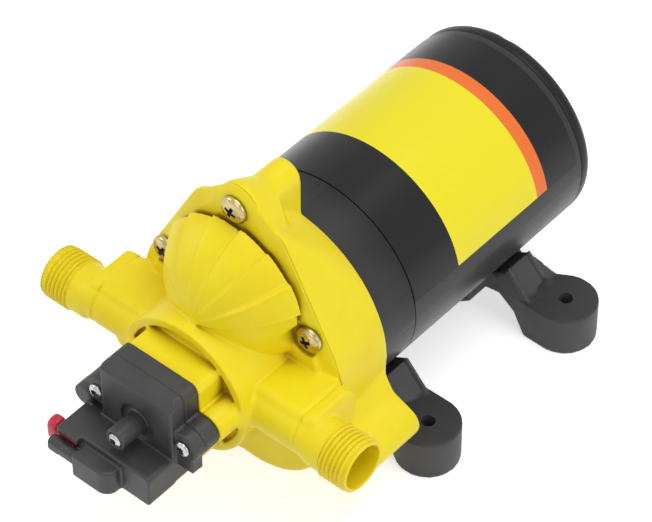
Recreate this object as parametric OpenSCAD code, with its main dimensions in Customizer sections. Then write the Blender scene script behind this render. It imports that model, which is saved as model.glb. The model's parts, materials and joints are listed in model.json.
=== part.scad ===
// Twelve volt diaphragm water pump for a caravan, with pressure switch, motor and feet.
// Millimetres, Z up, Y along the motor, origin between the four foot holes on the mounting face.

/* [Mounting] */
// Distance between the foot holes across the pump
foot_span_x = 108; // [105:1:112]
// Distance between the foot holes along the pump
foot_span_y = 79; // [77:1:84]
// Diameter of each foot pad
foot_d = 24.4; // [22:0.2:24.6]
// Height of each foot pad
foot_h = 17.2; // [15:0.2:18]
// Diameter of each foot hole
foot_hole_d = 4.8; // [4:0.2:6]

/* [Motor] */
// Height of the motor axis above the mounting face
axis_h = 54; // [54:0.5:58]
// Outside diameter of the motor can
can_d = 81.2; // [80.4:0.2:82]
// Length of the motor behind its front bell
can_len = 101; // [98:1:110]
// Wall thickness of the can
can_wall = 2; // [1.6:0.1:2.4]
// Diameter of the rotor shaft
shaft_d = 8; // [7.2:0.1:8]
// Tilt of the cam that rocks the wobble plate, in degrees
cam_tilt = 4; // [3:0.25:4]
// Angle covered by the label film, in degrees
label_angle = 158; // [120:1:200]

/* [Pump head] */
// Width over the two port ends
port_span = 142; // [138:1:150]
// Outside diameter of the port threads
port_d = 20.9; // [20.4:0.1:21.4]
// Number of thread ridges on each port
thread_turns = 7; // [4:1:7]
// Diameter of the port mouths
port_mouth_d = 17; // [15:0.5:17]
// Radius of the drum in the middle of the head
drum_r = 28; // [27:0.5:29]
// Radius of the dome on top of the head
dome_r = 29.5; // [28:0.5:30]
// Height of the dome in front of the flange
dome_h = 20; // [18:0.5:21]
// Step between two fan panels of the dome
panel_step = 0.45; // [0.2:0.05:0.5]
// Height of the top screw above the motor axis
corner_r = 65; // [64:0.5:66]

/* [Pressure switch] */
// Width of the switch body
sw_w = 33; // [32:0.5:34]
// Height of the switch body
sw_h = 40; // [39:0.5:41]
// Reach of the adjusting screw boss
boss_len = 11; // [9:0.5:12]

/* [Hidden] */
$fn = 72;
can_r = can_d / 2;
can_in = can_r - can_wall;
house_r = can_r + 3.9;
shaft_r = shaft_d / 2;
fit = 0.02;
port_y = -(foot_span_y / 2 + 56);
hood_y = port_y - 55;
sw_front = port_y - 48.3;
wall_y = port_y - 36;
base_y = port_y - 29.2;
sw_y = port_y - 22.2;
drum_y = port_y - 12;
body_y = port_y + 2;
flange_y = port_y + 14.5;
split_y = port_y + 18.5;
ledge_y = port_y + 26;
wob_y = port_y + 33;
house_y = port_y + 44.6;
bell_y = port_y + 64;
end_y = bell_y + can_len;
cap_y = end_y - 6.5;
sw_z = 1.5;
sw_low = 0.3 - sw_h / 2;
button_z = sw_low + 7.2;
mid_r = 39.4;
low_x = 54.6;
low_z = -23.1;
low_r = norm([low_x, low_z]);
low_a = atan2(low_z, low_x);
corners = [[0, corner_r], [low_x, low_z], [-low_x, low_z]];
mids = [[33, 24], [-33, 24], [0, -mid_r]];
neck_y = flange_y + 1.8;
seat_y = neck_y + 0.1;
pitch_r = 16.5;
plate_r = 32;
dome_z = 28;
chamber_x = 18.4;
chamber_z = -3.2;
chamber_r = dome_r + 3.1;
panel_a = 23;
thread_p = 1.8;
thread_x = port_span / 2 - thread_turns * thread_p;
ear_x = sw_w / 2 + 3.5;
roof_x = sw_w / 2 + 8;
core_y0 = bell_y + 24;
core_y1 = bell_y + 68;
comm_y = bell_y + 78;
mag_y0 = bell_y + 16;
mag_y1 = bell_y + 76;
bolt_z = can_r - 5.1;
front_y = -foot_span_y / 2;
rear_y = foot_span_y / 2;
mount_ys = [front_y - 4, front_y + 5, rear_y - 20, rear_y - 3];
blade_z = sw_low + 5.7;
red_y = port_y - 46.2;
dark_y = port_y - 51.9;

// Outline in X and Z about the motor axis, drawn out along Y
module slab(y0, y1) {
    translate([0, y1, axis_h])
        rotate([90, 0, 0])
            linear_extrude(y1 - y0)
                children();
}

// Cylinder along Y at a place measured from the motor axis
module rod(x, z, y0, y1, r) {
    translate([x, y0, axis_h + z])
        rotate([-90, 0, 0])
            cylinder(h = y1 - y0, r = r);
}

// Cylinder along X on the port axis
module pipe(x0, x1, r) {
    translate([x0, port_y, axis_h])
        rotate([0, 90, 0])
            cylinder(h = x1 - x0, r = r);
}

// Outline in Y and Z about the port axis, drawn out along X
module across(x0, x1) {
    translate([x0, port_y, axis_h])
        rotate([90, 0, 90])
            linear_extrude(x1 - x0)
                children();
}

// Profile turned about the motor axis, with its height along Y
module spin(y, turn = 360, start = 0) {
    translate([0, y, axis_h])
        rotate([-90, 0, 0])
            rotate([0, 0, start])
                rotate_extrude(angle = turn)
                    children();
}

module brick(x0, x1, y0, y1, z0, z1) {
    translate([x0, y0, axis_h + z0])
        cube([x1 - x0, y1 - y0, z1 - z0]);
}

module rounded(w, h, r) {
    square([w - 2 * r, h], center = true);
    square([w, h - 2 * r], center = true);
    for (sx = [-1, 1], sz = [-1, 1])
        translate([sx * (w / 2 - r), sz * (h / 2 - r)])
            circle(r);
}

module ring(r0, r1) {
    difference() {
        circle(r1);
        circle(r0);
    }
}

// Rounded body of the head: drum end, dome end and top corner, grown by g
module body_outline(g) {
    circle(house_r + 0.3 + g);
    translate([0, dome_z])
        circle(dome_r + 2 + g);
    translate([0, corner_r + 0.6])
        circle(8.6 + g);
}

// Outline where the head meets the drive housing, without the top corner
module joint_outline() {
    circle(house_r + 1.5);
    translate([0, dome_z])
        circle(dome_r + 2.8);
    for (s = [-1, 1])
        translate([s * 14, corner_r - 11])
            circle(8.2);
}

module low_lobes(r) {
    for (s = [0, 1])
        mirror([s, 0])
            rotate(low_a) {
                translate([low_r, 0])
                    circle(r);
                translate([25, -r])
                    square([low_r - 25, 2 * r]);
                polygon([[38, -r], [low_r - 9, -r + 1], [low_r - 9, r], [42.5, r + 5.8], [36, r + 5.8]]);
            }
}

module screw_rods(y0, y1, r) {
    for (p = concat(corners, mids))
        rod(p[0], p[1], y0, y1, r);
}

// Pan head screw along Y with a cross recess, head towards the front
module pan_screw(x, z, y, head_r, head_h, len, r) {
    difference() {
        union() {
            rod(x, z, y - head_h * 0.6, y, head_r);
            translate([x, y - head_h * 0.6, axis_h + z])
                rotate([90, 0, 0])
                    cylinder(h = head_h * 0.4, r1 = head_r, r2 = head_r * 0.72);
            rod(x, z, y - fit, y + len, r);
        }
        for (q = [0, 90])
            translate([x, y - head_h, axis_h + z])
                rotate([0, q, 0])
                    cube([head_r * 1.1, head_h * 1.1, head_r * 0.28], center = true);
    }
}

module dome_panel(k, turn) {
    r = dome_r + panel_step * k;
    h = dome_h + panel_step * (1.5 + k / 2);
    s = (r * r + h * h) / (2 * h);
    rotate_extrude(angle = turn)
        intersection() {
            translate([0, h - s])
                circle(s);
            translate([0.7, 0])
                square([r + 5, h + 5]);
        }
}

// Panels that climb round the dome about a small hub, each tucked under the next
module dome() {
    translate([0, flange_y + fit, axis_h + dome_z])
        rotate([90, 0, 0]) {
            cylinder(h = dome_h + 4.8 * panel_step, r = 1);
            rotate([0, 0, 147])
                dome_panel(0, 233);
            for (k = [1:6]) {
                tuck = k < 6 ? 5 : 0;
                rotate([0, 0, 175 - panel_a * (k + 1) - tuck])
                    dome_panel(k, panel_a + tuck);
            }
        }
}

module thread_ridges() {
    rc = port_d / 2;
    rr = rc - 1;
    translate([thread_x, port_y, axis_h])
        rotate([0, 90, 0])
            rotate_extrude()
                polygon(concat(
                    [[0, -0.5], [rr, -0.5]],
                    [for (i = [0:thread_turns - 1], q = [0:3])
                        [q == 1 || q == 2 ? rc : rr, thread_p * (i + [0.06, 0.4, 0.6, 0.94][q])]],
                    [[rr, thread_turns * thread_p], [0, thread_turns * thread_p]]
                ));
}

module port_outline(g) {
    translate([0, 1])
        circle(9.2 + g);
    translate([6.5, 1.75])
        rounded(23 + 2 * g, 19.5 + 2 * g, 4);
}

module port_arm() {
    across(14, 46)
        port_outline(0);
    across(45.9, 47.1)
        port_outline(-0.7);
    across(47, 52)
        port_outline(0);
    pipe(51, thread_x, port_d / 2 - 0.7);
    thread_ridges();
}

// Keeps what lies under the dome's lower edge
module below_dome() {
    intersection() {
        children();
        translate([-60, -60])
            square([120, 69]);
    }
}

module switch_pad_outline() {
    rounded(sw_w + 1, sw_h - 3, 3);
    for (s = [-1, 1])
        translate([s * ear_x, sw_z])
            circle(6.5);
}

module front_head() {
    color([0.96, 0.85, 0.13])
    difference() {
        union() {
            hull() {
                slab(neck_y, neck_y + 0.4)
                    body_outline(-2.4);
                slab(split_y - 0.6, split_y) {
                    body_outline(0);
                    joint_outline();
                }
            }
            slab(flange_y - 0.5, neck_y + 0.2)
                body_outline(-4.5);
            slab(seat_y, split_y)
                low_lobes(6.8);
            slab(body_y + 4.5, neck_y + 0.5)
                below_dome()
                    circle(house_r - 0.6);
            slab(body_y, neck_y + 0.5)
                below_dome()
                    for (s = [-1, 1])
                        translate([s * chamber_x, chamber_z])
                            circle(chamber_r);
            slab(drum_y, flange_y + 1)
                circle(drum_r);
            dome();
            port_arm();
            mirror([1, 0, 0])
                port_arm();
            slab(sw_y, drum_y + 6)
                switch_pad_outline();
        }
        slab(drum_y - 1, drum_y + 2.5)
            difference() {
                circle(drum_r - 3.5);
                switch_pad_outline();
            }
        rod(0, 0, port_y - 6.5, split_y + 1, 13);
        slab(port_y + 10.5, split_y + 1)
            ring(16, 26);
        slab(split_y - 1.5, split_y + 1)
            ring(29.8, 31.8);
        pipe(8, port_span / 2 + 1, 6.5);
        pipe(port_span / 2 - 16, port_span / 2 + 1, port_mouth_d / 2);
        pipe(-port_span / 2 - 1, -22, 6.5);
        pipe(-port_span / 2 - 1, -port_span / 2 + 16, port_mouth_d / 2);
        rod(-22, 0, port_y, port_y + 12, 5.5);
        rod(0, sw_z, sw_y - 1, sw_y + 2.2, 10);
        rod(0, sw_z, sw_y, port_y - 3, 1.5);
        for (s = [-1, 1])
            rod(s * ear_x, sw_z, sw_y - 1, sw_y + 9, 1.6);
        screw_rods(drum_y, split_y + 1, 2.3);
        rod(0, corner_r, drum_y, seat_y, 6.2);
        for (p = mids)
            rod(p[0], p[1], drum_y, seat_y, 6.8);
    }
}

module head_screws() {
    color([0.8, 0.72, 0.5])
    for (p = concat(corners, mids))
        pan_screw(p[0], p[1], seat_y - fit, 5.4, 3, 22, 2);
}

module head_seal() {
    color([0.12, 0.12, 0.12])
    spin(split_y - 0.71)
        translate([30.8, 0])
            circle(0.76);
}

module valve_plate() {
    color([0.2, 0.2, 0.22])
    difference() {
        rod(0, 0, split_y + 0.1, ledge_y - 2, plate_r);
        for (a = [90, 210, 330]) {
            rod(pitch_r * cos(a), pitch_r * sin(a), split_y + 1.4, ledge_y, 12);
            rod(8 * cos(a), 8 * sin(a), split_y - 1, split_y + 2, 1.6);
            rod(21 * cos(a), 21 * sin(a), split_y - 1, split_y + 2, 1.1);
            for (d = [-7, 7])
                rod(21 * cos(a + d), 21 * sin(a + d), split_y - 1, split_y + 2, 0.8);
        }
        rod(0, 0, split_y - 1, split_y + 4, 1.5);
    }
}

module outlet_valve() {
    color([0.1, 0.1, 0.1]) {
        rod(0, 0, split_y - 0.9, split_y + 0.08, 10.5);
        rod(0, 0, split_y, split_y + 3.5, 1.44);
    }
}

module inlet_valves() {
    color([0.1, 0.1, 0.1])
    for (a = [90, 210, 330]) {
        rod(21 * cos(a), 21 * sin(a), split_y + 1.42, split_y + 1.95, 4);
        rod(21 * cos(a), 21 * sin(a), split_y - 0.8, split_y + 1.5, 1.05);
    }
}

module diaphragm() {
    color([0.14, 0.14, 0.14])
    slab(ledge_y - 2 + fit, ledge_y - fit)
        difference() {
            circle(plate_r - 0.1);
            for (a = [90, 210, 330])
                translate([pitch_r * cos(a), pitch_r * sin(a)])
                    circle(12);
        }
}

// Rocking frame about the cam axis, its local Z along the tilted shaft
module rocked() {
    translate([0, wob_y, axis_h])
        rotate([cam_tilt, 0, 0])
            rotate([-90, 0, 0])
                children();
}

module at_pistons() {
    for (a = [90, 210, 330])
        translate([pitch_r * cos(a), -pitch_r * sin(a), 0])
            children();
}

module drum(z0, z1, r) {
    translate([0, 0, z0])
        cylinder(h = z1 - z0, r = r);
}

module diaphragm_cups() {
    color([0.16, 0.16, 0.16])
    rocked()
        at_pistons()
            difference() {
                drum(-8.8, -7 - fit, 11);
                drum(-9, -6, 1.6);
            }
}

module piston_pads() {
    color([0.75, 0.75, 0.72])
    rocked()
        at_pistons()
            difference() {
                drum(-10.3, -8.8 - fit, 8);
                drum(-11, -8, 1.6);
                drum(-10.4, -9.2, 3.3);
            }
}

module piston_screws() {
    color([0.7, 0.71, 0.73])
    rocked()
        at_pistons() {
            drum(-10.2, -9.2 - fit, 3.2);
            drum(-9.5, 0, 1.5);
        }
}

module wobble_plate() {
    color([0.82, 0.82, 0.8])
    rocked()
        difference() {
            union() {
                drum(-3.5, 1.5, 26);
                drum(-4.5, 4.5, 18);
                at_pistons()
                    drum(-7, -3, 8.5);
            }
            drum(-4.7, 10, 14.5 + fit);
            drum(-10, 0, 9.4);
            at_pistons()
                drum(-8, 1, 1.5 + fit);
        }
}

module cam_bearing_outer() {
    color([0.7, 0.71, 0.74])
    rocked()
        difference() {
            drum(-4.4, 4.4, 14.5);
            drum(-5, 5, 12.5);
        }
}

module cam_bearing_balls() {
    color([0.75, 0.76, 0.78])
    rocked()
        for (i = [0:8])
            rotate([0, 0, i * 40])
                translate([10.75, 0, 0])
                    sphere(1.7);
}

module cam_bearing_inner() {
    color([0.7, 0.71, 0.74])
    rocked()
        difference() {
            drum(-4.4, 4.4, 9);
            drum(-5, 5, 7 + fit);
        }
}

module cam_hub() {
    color([0.55, 0.56, 0.58])
    difference() {
        rocked() {
            drum(-4.4, 5.6, 7);
            drum(4.4 + fit, 5.6, 8.6);
        }
        rod(0, 0, wob_y - 10, wob_y + 10, shaft_r + fit);
    }
}

module drive_housing() {
    color([0.95, 0.83, 0.12])
    difference() {
        union() {
            hull() {
                slab(split_y, split_y + 2)
                    joint_outline();
                slab(house_y - 3, house_y)
                    circle(house_r);
            }
            hull() {
                slab(split_y, split_y + 2)
                    body_outline(0);
                slab(split_y + 12, split_y + 13) {
                    translate([0, corner_r - 3])
                        circle(6.5);
                    translate([0, 34])
                        circle(12);
                }
            }
            slab(split_y, house_y - 1.4) {
                translate([0, corner_r - 2.6])
                    circle(6.5);
                translate([-6.5, 30])
                    square([13, corner_r - 32.6]);
            }
            slab(split_y, house_y - 1.4)
                low_lobes(6.5);
        }
        rod(0, 0, split_y - 1, ledge_y, plate_r + 0.2);
        rod(0, 0, ledge_y - 1, house_y - 4, 29.5);
        rod(0, 0, house_y - 5, house_y + 1, 12.5);
        screw_rods(split_y - 1, flange_y + 24.5, 2.05);
        for (a = [90, 210, 330])
            rod(24 * cos(a), 24 * sin(a), house_y - 5, house_y + 1, 1.95);
    }
}

module front_bell() {
    color([0.13, 0.13, 0.14])
    difference() {
        union() {
            difference() {
                rod(0, 0, house_y + fit, bell_y, can_r);
                rod(0, 0, house_y + 4, bell_y + 1, can_r - 3);
            }
            rod(0, 0, house_y + 3, house_y + 11.6, 14.5);
            for (s = [-1, 1])
                rod(0, s * bolt_z, house_y + 3, bell_y, 4);
            difference() {
                rod(0, 0, bell_y - 6, bell_y + 4, can_in - 0.05);
                rod(0, 0, bell_y - 7, bell_y + 5, can_in - 2);
            }
        }
        rod(0, 0, house_y - 1, house_y + 5, 6);
        rod(0, 0, house_y + 4.4, house_y + 12, 11 + fit);
        for (s = [-1, 1])
            rod(0, s * bolt_z, house_y + 5, bell_y + 5, 2.05);
        for (a = [90, 210, 330])
            rod(24 * cos(a), 24 * sin(a), house_y - 1, house_y + 5, 2.2);
        mount_holes(1.95);
    }
}

module bell_screws() {
    color([0.7, 0.71, 0.73])
    for (a = [90, 210, 330]) {
        rod(24 * cos(a), 24 * sin(a), house_y + 4 + fit, house_y + 6.4, 3.6);
        rod(24 * cos(a), 24 * sin(a), house_y - 3.8, house_y + 5, 1.9);
    }
}

module front_bearing_outer() {
    color([0.7, 0.71, 0.74])
    slab(house_y + 4.5, house_y + 11.5)
        ring(9.2, 11);
}

module front_bearing_balls() {
    color([0.75, 0.76, 0.78])
    for (i = [0:7])
        translate([7.5 * cos(i * 45), house_y + 8, axis_h + 7.5 * sin(i * 45)])
            sphere(1.65);
}

module front_bearing_inner() {
    color([0.7, 0.71, 0.74])
    slab(house_y + 4.6, house_y + 11.4)
        ring(shaft_r + fit, 5.8);
}

module motor_can() {
    color([0.11, 0.11, 0.12])
    difference() {
        rod(0, 0, bell_y + 0.4, cap_y - 0.2, can_r);
        rod(0, 0, bell_y, cap_y + 1, can_in);
        mount_holes(1.95);
    }
}

module rear_cap() {
    color([0.12, 0.12, 0.13])
    difference() {
        union() {
            spin(cap_y) {
                square([can_r - 4, end_y - cap_y]);
                square([can_r, end_y - cap_y - 4]);
                intersection() {
                    translate([can_r - 4, end_y - cap_y - 4])
                        circle(4);
                    square([can_r, end_y - cap_y]);
                }
            }
            slab(cap_y - 5, cap_y + 1)
                ring(can_in - 2, can_in - 0.05);
        }
        rod(0, 0, cap_y - 6, end_y - 5, can_in - 2);
        for (s = [-1, 1]) {
            rod(0, s * bolt_z, cap_y - 6, end_y + 1, 2.2);
            rod(0, s * bolt_z, end_y - 3.42, end_y + 1, 4.2);
        }
    }
    color([0.12, 0.12, 0.13]) {
        slab(cap_y - 4, end_y - 4.5)
            ring(6 + fit, 10);
        for (a = [45, 135, 225, 315])
            rod(28 * cos(a), 28 * sin(a), cap_y - 0.6, end_y - 4.5, 3);
    }
}

module rear_bushing() {
    color([0.7, 0.5, 0.28])
    slab(cap_y - 3.9, end_y - 5.1)
        ring(shaft_r + 0.05, 6);
}

module magnets() {
    color([0.25, 0.25, 0.27])
    for (s = [-62, 118])
        spin(mag_y0, 124, s)
            translate([can_in - 5.4, 0])
                square([5.35, mag_y1 - mag_y0]);
}

module shaft() {
    color([0.72, 0.73, 0.76])
    rod(0, 0, wob_y - 4.2, end_y - 5.3, shaft_r);
}

module armature_core() {
    color([0.42, 0.43, 0.45])
    slab(core_y0, core_y1)
        difference() {
            circle(can_in - 6.2);
            circle(shaft_r + fit);
            for (i = [0:11])
                rotate(i * 30) {
                    translate([17, -2])
                        square([11, 4]);
                    translate([27, -0.8])
                        square([10, 1.6]);
                }
        }
}

module windings() {
    color([0.72, 0.38, 0.16]) {
        slab(core_y0 - 6, core_y1 + 6)
            for (i = [0:11])
                rotate(i * 30)
                    translate([17.2, -1.8])
                        square([10.6, 3.6]);
        slab(core_y0 - 7, core_y0 - 0.1)
            ring(13, 29.5);
        slab(core_y1 + 0.1, core_y1 + 7)
            ring(13, 29.5);
    }
}

module commutator() {
    color([0.76, 0.45, 0.2])
    difference() {
        rod(0, 0, comm_y, comm_y + 12, 10.5);
        rod(0, 0, comm_y - 1, comm_y + 13, shaft_r + fit);
        for (i = [0:11])
            translate([0, comm_y + 6, axis_h])
                rotate([0, i * 30, 0])
                    translate([10.5, 0, 0])
                        cube([2, 14, 0.6], center = true);
    }
}

module brush_plate() {
    color([0.45, 0.33, 0.2])
    difference() {
        union() {
            slab(cap_y - 3.7, cap_y - 0.7)
                ring(13, 32);
            for (s = [-1, 1])
                brick(s > 0 ? 13 : -29, s > 0 ? 29 : -13, comm_y + 1.5, cap_y - 1, -4.8, 4.8);
        }
        for (s = [-1, 1])
            brick(s > 0 ? 12 : -27, s > 0 ? 27 : -12, comm_y + 3, comm_y + 9, -3, 3);
    }
}

module brushes() {
    color([0.2, 0.2, 0.2])
    difference() {
        for (s = [-1, 1])
            brick(s > 0 ? 9 : -20, s > 0 ? 20 : -9, comm_y + 3.1, comm_y + 8.9, -2.9, 2.9);
        rod(0, 0, comm_y, comm_y + 12, 10.57);
    }
}

module brush_springs() {
    color([0.75, 0.76, 0.78])
    for (s = [20.05, -26.95])
        translate([s, comm_y + 6, axis_h])
            rotate([0, 90, 0])
                difference() {
                    cylinder(h = 6.9, r = 2.4);
                    translate([0, 0, -1])
                        cylinder(h = 9, r = 1.8);
                }
}

module through_bolts() {
    color([0.7, 0.71, 0.73])
    for (s = [-1, 1]) {
        rod(0, s * bolt_z, house_y + 6, end_y - 3, 2);
        rod(0, s * bolt_z, end_y - 3.4, end_y - 1.4, 3.8);
    }
}

module motor_label() {
    color([0.9, 0.8, 0.15])
    spin(bell_y + 0.3, label_angle, -90 - label_angle / 2)
        translate([can_r + 0.05, 0])
            square([0.25, cap_y - bell_y - 3.3]);
}

module mount_holes(r) {
    for (y = mount_ys)
        translate([0, y, axis_h - can_r - 5])
            cylinder(h = 6.8, r = r);
}

// Saddle under the motor with two arms and two foot pads; the arms lie to the inner side of the pads
module mount(yc, side, y0, y1) {
    pad_x = foot_span_x / 2;
    pad_r = foot_d / 2;
    top = foot_h - axis_h;
    out_r = can_r + 4.4;
    difference() {
        union() {
            slab(y0, y1)
                intersection() {
                    ring(can_r + 0.05, out_r);
                    polygon([[0, 0], [-80, -88], [80, -88]]);
                }
            for (s = [0, 1])
                mirror([s, 0, 0]) {
                    intersection() {
                        slab(yc - pad_r - 1, yc + pad_r + 1)
                            polygon([
                                [out_r * 0.77, -out_r * 0.6], [pad_x - pad_r + 1.8, top], [pad_x, top],
                                [pad_x, -axis_h], [pad_x - pad_r + 2, -axis_h], [pad_x - 15, 9 - axis_h],
                                [pad_x - 22, 14 - axis_h], [12, -out_r + 1.4], [12, -can_r]
                            ]);
                        translate([0, yc, -1])
                            linear_extrude(axis_h)
                                polygon([
                                    [11, side * 11.5], [pad_x, side * pad_r], [pad_x, -side * pad_r],
                                    [pad_x - 6, -side * (pad_r - 1.6)], [34, -side * 2], [11, -side * 2]
                                ]);
                    }
                    for (v = [10.3, -1.2])
                        slab(yc + side * v - 0.8, yc + side * v + 0.8)
                            polygon([
                                [out_r * 0.78, -out_r * 0.57], [pad_x - pad_r + 3.2, top + 0.4],
                                [pad_x - pad_r + 2, top - 4], [out_r * 0.7, -out_r * 0.7]
                            ]);
                    translate([pad_x, yc, 0])
                        cylinder(h = foot_h, d = foot_d);
                }
        }
        rod(0, 0, y0 - 30, y1 + 30, can_r + 0.05);
        for (s = [-1, 1]) {
            translate([s * pad_x, yc, foot_h - 1.6])
                cylinder(h = 8, r = pad_r - 1.2);
            translate([s * pad_x, yc, -1])
                cylinder(h = foot_h, d = foot_hole_d);
        }
        mount_holes(2.1);
        for (y = mount_ys)
            translate([0, y, 0])
                cylinder(h = axis_h - can_r - 3, r = 4.2);
    }
}

module front_mount() {
    color([0.2, 0.2, 0.21])
    mount(front_y, 1, house_y + 1.2, front_y + 11.5);
}

module rear_mount() {
    color([0.2, 0.2, 0.21])
    mount(rear_y, -1, rear_y - 27, rear_y + 5);
}

module mount_screws() {
    color([0.7, 0.71, 0.73])
    for (y = mount_ys)
        translate([0, y, axis_h - can_r - 3.02]) {
            translate([0, 0, -2.2])
                cylinder(h = 2.2, r = 3.6);
            cylinder(h = 4.7, r = 1.9);
        }
}

module switch_outline() {
    translate([0, 0.3])
        rounded(sw_w, sw_h, 2.5);
}

module ear_outline() {
    for (s = [-1, 1]) {
        translate([s * ear_x, sw_z])
            circle(6);
        translate([s * ear_x / 2, sw_z])
            square([ear_x, 12], center = true);
    }
}

module switch_base() {
    color([0.19, 0.19, 0.2])
    difference() {
        slab(base_y, sw_y - fit)
            union() {
                switch_outline();
                ear_outline();
            }
        rod(0, sw_z, base_y - 1, sw_y + 1, 8);
        brick(-3.5, 3.5, base_y - 1, sw_y - 1, button_z - 3.5, 0);
        for (s = [-1, 1])
            rod(s * ear_x, sw_z, base_y - 1, sw_y + 1, 1.7);
    }
}

module switch_cover() {
    low = sw_low;
    color([0.18, 0.18, 0.19])
    difference() {
        union() {
            slab(wall_y, base_y - 0.05)
                switch_outline();
            slab(base_y - 5, base_y - 0.05)
                ear_outline();
            slab(sw_front, wall_y + 1)
                translate([0, low + 6.8])
                    rounded(sw_w, 13.6, 1.5);
            rod(0, sw_z, wall_y - boss_len, wall_y + 1, 4.2);
            brick(0, ear_x + 4, base_y - 5, base_y - 0.05, low + 10.2, sw_z);
            brick(-roof_x, -sw_w / 2 + 2, port_y - 50.5, base_y - 0.05, low + 10.2, low + 13.6);
            rod(-roof_x - 1.5, -4.5, base_y - 6, base_y - 0.05, 4.4);
            translate([0, 0, axis_h + low])
                linear_extrude(10.8)
                    union() {
                        translate([-13.5, hood_y])
                            square([12, 8]);
                        translate([-13.5, hood_y + 5])
                            square([17, 8]);
                        translate([-1.5, hood_y + 5])
                            circle(5);
                    }
        }
        translate([0, wall_y, axis_h + sw_h / 2 + 0.3])
            rotate([45, 0, 0])
                cube([sw_w + 2, 4.2, 4.2], center = true);
        slab(wall_y + 2.5, base_y + 1)
            translate([0, 0.3])
                rounded(sw_w - 4, sw_h - 4, 1.5);
        brick(-sw_w / 2 + 2, sw_w / 2 - 2, sw_front + 2, wall_y + 3, low + 1.8, low + 11.6);
        brick(-sw_w / 2 - 1, -10, red_y - 2.3, red_y + 2.3, blade_z - 0.1, blade_z + 0.9);
        brick(-14, -5.5, dark_y - 1.9, dark_y + 1.9, blade_z - 0.1, blade_z + 0.9);
        slab(wall_y - 0.1, wall_y + 1.2)
            translate([0, sw_z])
                ring(4.2, 7);
        for (s = [-1, 1])
            rod(s * ear_x, sw_z, base_y - 7, base_y + 1, 1.7);
        rod(0, sw_z, wall_y - boss_len - 1, base_y, 2);
        rod(0, sw_z, wall_y - boss_len - 1, wall_y - boss_len + 0.8, 3);
    }
}

module switch_screws() {
    color([0.76, 0.77, 0.79])
    for (s = [-1, 1])
        pan_screw(s * ear_x, sw_z, base_y - 5 - fit, 3, 1.8, 15, 1.5);
}

module adjust_screw() {
    color([0.76, 0.77, 0.79])
    pan_screw(0, sw_z, wall_y - boss_len + 0.74, 2.7, 1.6, boss_len + 4.6, 1.93);
}

module spring_nut() {
    color([0.7, 0.62, 0.4])
    slab(wall_y + 2.8, wall_y + 4.8)
        translate([0, sw_z])
            difference() {
                rounded(11, 11, 1);
                circle(2);
            }
}

module switch_spring() {
    color([0.75, 0.76, 0.78])
    slab(wall_y + 4.85, sw_y - 2.5)
        translate([0, sw_z])
            ring(3.2, 4.4);
}

module plunger() {
    color([0.85, 0.85, 0.82]) {
        rod(0, sw_z, sw_y - 2.4, sw_y - 0.15, 7.5);
        rod(0, sw_z, sw_y - 6, sw_y - 1, 2.8);
        brick(-2, 2, sw_y - 3.2, sw_y - 1.4, button_z - 1.5, -3);
        rod(0, button_z, sw_y - 12, sw_y - 2, 1.5);
    }
}

module pressure_diaphragm() {
    color([0.12, 0.12, 0.12])
    rod(0, sw_z, sw_y + 0.05, sw_y + 1.1, 9.7);
}

module microswitch() {
    color([0.1, 0.1, 0.11])
    difference() {
        brick(-11, 11, sw_front + 2.2, wall_y - 0.4, sw_low + 2.1, sw_low + 11.3);
        rod(0, button_z, wall_y - 4, wall_y, 1.56);
    }
}

module microswitch_button() {
    color([0.8, 0.2, 0.15])
    rod(0, button_z, wall_y - 2, wall_y + 1.5, 1.5);
}

module terminals() {
    color([0.78, 0.66, 0.4]) {
        brick(-sw_w / 2 - 10.5, -11.1, red_y - 2.2, red_y + 2.2, blade_z, blade_z + 0.8);
        brick(-sw_w / 2 - 7.5, -5.6, dark_y - 1.8, dark_y + 1.8, blade_z, blade_z + 0.8);
    }
}

// Insulating sleeve with a beaded end, pushed over a blade
module blade_sleeve(x0, x1, y, w, h, blade, bead) {
    difference() {
        translate([x0, y, axis_h + blade_z + 0.4])
            rotate([90, 0, 90]) {
                linear_extrude(x1 - x0)
                    rounded(w, h, w * 0.46);
                linear_extrude(4.5)
                    rounded(w + bead / 4, h + bead, w * 0.46);
            }
        brick(x0 + 1.5, x1 + 1, y - blade / 2, y + blade / 2, blade_z - 0.1, blade_z + 0.9);
    }
}

module terminal_sleeve() {
    color([0.8, 0.1, 0.12])
    blade_sleeve(-sw_w / 2 - 14.5, -sw_w / 2 - 0.5, red_y, 5.6, 6.4, 4.6, 3.4);
}

module dark_sleeve() {
    color([0.1, 0.1, 0.11])
    blade_sleeve(-sw_w / 2 - 9.3, -14, dark_y, 4.6, 6, 3.8, 0.5);
}

front_head();
head_screws();
head_seal();
valve_plate();
outlet_valve();
inlet_valves();
diaphragm();
diaphragm_cups();
piston_pads();
piston_screws();
wobble_plate();
cam_bearing_outer();
cam_bearing_balls();
cam_bearing_inner();
cam_hub();
drive_housing();
front_bell();
bell_screws();
front_bearing_outer();
front_bearing_balls();
front_bearing_inner();
motor_can();
rear_cap();
rear_bushing();
magnets();
shaft();
armature_core();
windings();
commutator();
brush_plate();
brushes();
brush_springs();
through_bolts();
motor_label();
front_mount();
rear_mount();
mount_screws();
switch_base();
switch_cover();
switch_screws();
adjust_screw();
spring_nut();
switch_spring();
plunger();
pressure_diaphragm();
microswitch();
microswitch_button();
terminals();
terminal_sleeve();
dark_sleeve();
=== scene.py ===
import json
import math
import bpy
import bmesh
import numpy as np
from mathutils import Matrix, Vector


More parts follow.
